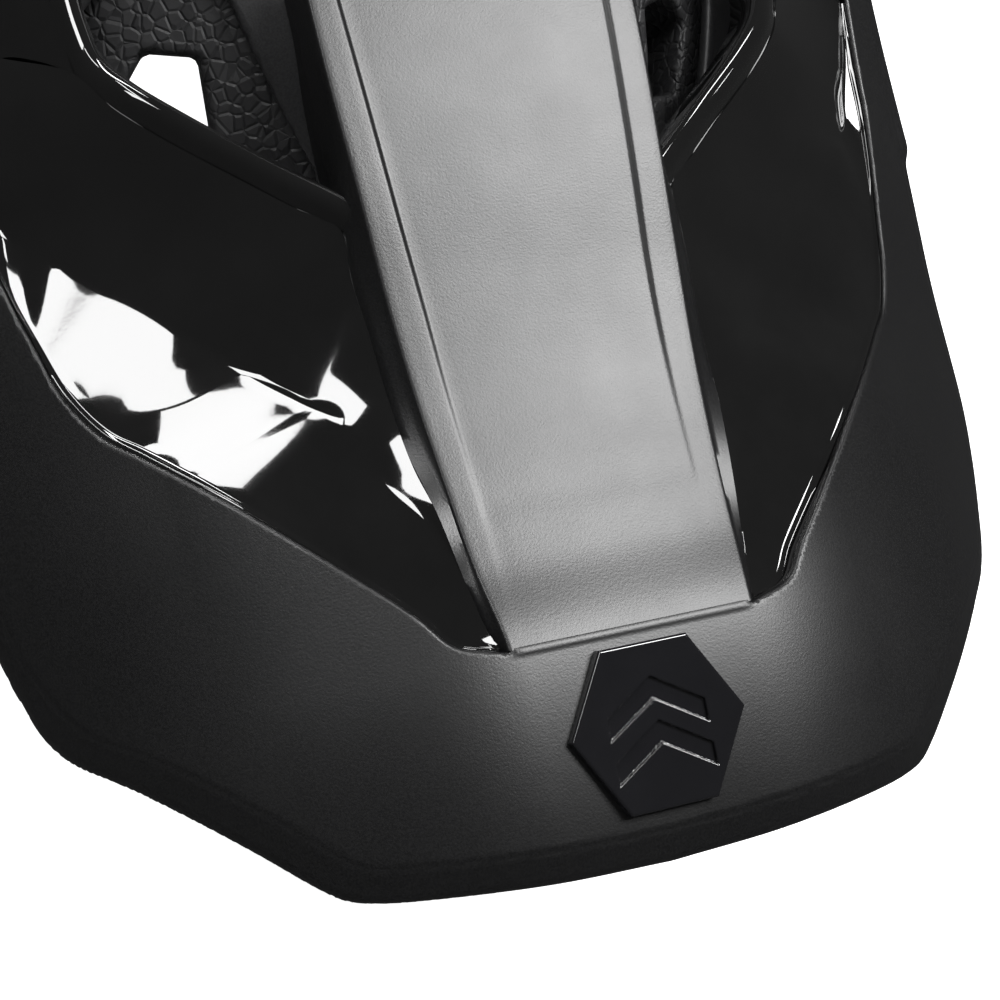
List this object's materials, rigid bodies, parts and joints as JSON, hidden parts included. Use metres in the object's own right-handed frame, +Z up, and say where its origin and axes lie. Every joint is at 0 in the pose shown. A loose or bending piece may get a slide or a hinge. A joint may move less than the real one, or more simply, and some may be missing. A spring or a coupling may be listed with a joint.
{
  "type": "cycling helmet",
  "caption": "Trail cycling helmet with vented foam liner, two-part shell, tilting windowed visor, dial-adjusted cradle and buckled webbing.",
  "frame": {"origin": "bottom centre of the whole helmet's box, on the surface it stands on", "axes": "+Z up, the wearer faces -Y, +X to the wearer's left; X is the symmetry axis of the shell and visor"},
  "size_m": [0.2138, 0.3532, 0.168],
  "materials": {
    "visor_matte": "matte moulded with a fine grain",
    "gloss_black": "high gloss",
    "badge_gloss": "high gloss",
    "shell_matte": "matte moulded with a fine grain",
    "shell_gloss": "high gloss",
    "foam": "beaded expanded foam",
    "pad_fabric": "brushed knit over soft foam",
    "insert_brass": "turned",
    "hardware_plastic": "moulded",
    "knob_metal": "black anodised",
    "band_plastic": "satin moulded",
    "dial_rubber": "moulded grip",
    "webbing": "woven polyester webbing",
    "buckle_plastic": "satin moulded",
    "button_plastic": "satin moulded"
  },
  "bodies": {
    "helmet": {"shell_upper": "shell_matte", "shell_lower": "shell_gloss", "foam_liner": "foam", "brow_pad": "pad_fabric", "crown_pad": "pad_fabric", "side_pad_left": "pad_fabric", "side_pad_right": "pad_fabric", "chin_pad": "pad_fabric", "pivot_insert_left": "insert_brass", "pivot_insert_right": "insert_brass", "band_anchor_left": "hardware_plastic", "band_anchor_right": "hardware_plastic", "cradle_fork": "hardware_plastic", "strap_front_left": "webbing", "strap_front_right": "webbing", "strap_rear_left": "webbing", "strap_rear_right": "webbing", "chin_strap_left": "webbing", "chin_strap_right": "webbing", "divider_left": "buckle_plastic", "divider_right": "buckle_plastic", "strap_plugs": "hardware_plastic", "buckle_socket": "buckle_plastic", "buckle_plug": "buckle_plastic"},
    "visor": {"visor": "visor_matte", "visor_inlay_left": "gloss_black", "visor_inlay_right": "gloss_black", "window_lip_left": "gloss_black", "window_lip_right": "gloss_black", "visor_badge": "badge_gloss", "pivot_washers": "hardware_plastic"},
    "knob_left": {"pivot_knob_left": "knob_metal"},
    "knob_right": {"pivot_knob_right": "knob_metal"},
    "cradle": {"dial_housing": "band_plastic", "cradle_arm": "band_plastic", "cradle_pad": "pad_fabric"},
    "dial": {"dial_knob": "dial_rubber", "dial_pinion": "hardware_plastic"},
    "band_left": {"fit_band_left": "band_plastic"},
    "band_right": {"fit_band_right": "band_plastic"},
    "button": {"buckle_button": "button_plastic"},
    "cam_left": {"divider_cam_left": "buckle_plastic"},
    "cam_right": {"divider_cam_right": "buckle_plastic"}
  },
  "joints": [
    {"name": "visor_tilt", "type": "hinge", "parent": "helmet", "child": "visor", "pos_m": [0, 0.01061, 0.072], "axis": [-1, 0, 0], "range_deg": [0, 12]},
    {"name": "knob_left_turn", "type": "hinge", "parent": "helmet", "child": "knob_left", "pos_m": [0.1, 0.01061, 0.072], "axis": [1, 0, 0], "range_deg": [0, 180]},
    {"name": "knob_right_turn", "type": "hinge", "parent": "helmet", "child": "knob_right", "pos_m": [-0.1, 0.01061, 0.072], "axis": [-1, 0, 0], "range_deg": [0, 180]},
    {"name": "cradle_swing", "type": "hinge", "parent": "helmet", "child": "cradle", "pos_m": [0, 0.12661, 0.086], "axis": [1, 0, 0], "range_deg": [-4, 0]},
    {"name": "dial_turn", "type": "hinge", "parent": "cradle", "child": "dial", "pos_m": [0, 0.13061, 0.028], "axis": [0, 1, 0], "range_deg": [0, 200]},
    {"name": "band_left_swing", "type": "hinge", "parent": "helmet", "child": "band_left", "pos_m": [0.0546, -0.01639, 0.028], "axis": [0, 0, 1], "range_deg": [0, 6]},
    {"name": "band_right_swing", "type": "hinge", "parent": "helmet", "child": "band_right", "pos_m": [-0.0546, -0.01639, 0.028], "axis": [0, 0, 1], "range_deg": [-6, 0]},
    {"name": "buckle_press", "type": "slide", "parent": "helmet", "child": "button", "axis": [-1, 0, 0], "range_m": [0, 0.0015], "stiffness_N_per_m": 400},
    {"name": "cam_left_open", "type": "hinge", "parent": "helmet", "child": "cam_left", "pos_m": [0.0256, 0.07161, 0.009], "axis": [0, 0, 1], "range_deg": [0, 80]},
    {"name": "cam_right_open", "type": "hinge", "parent": "helmet", "child": "cam_right", "pos_m": [-0.0256, 0.07161, 0.009], "axis": [0, 0, -1], "range_deg": [0, 80]}
  ],
  "couplings": [
    {"joint": "band_left_swing", "follows": "dial_turn", "ratio": 0.02894},
    {"joint": "band_right_swing", "follows": "dial_turn", "ratio": -0.02894},
    {"joint": "cradle_swing", "follows": "dial_turn", "ratio": -0.01928}
  ]
}
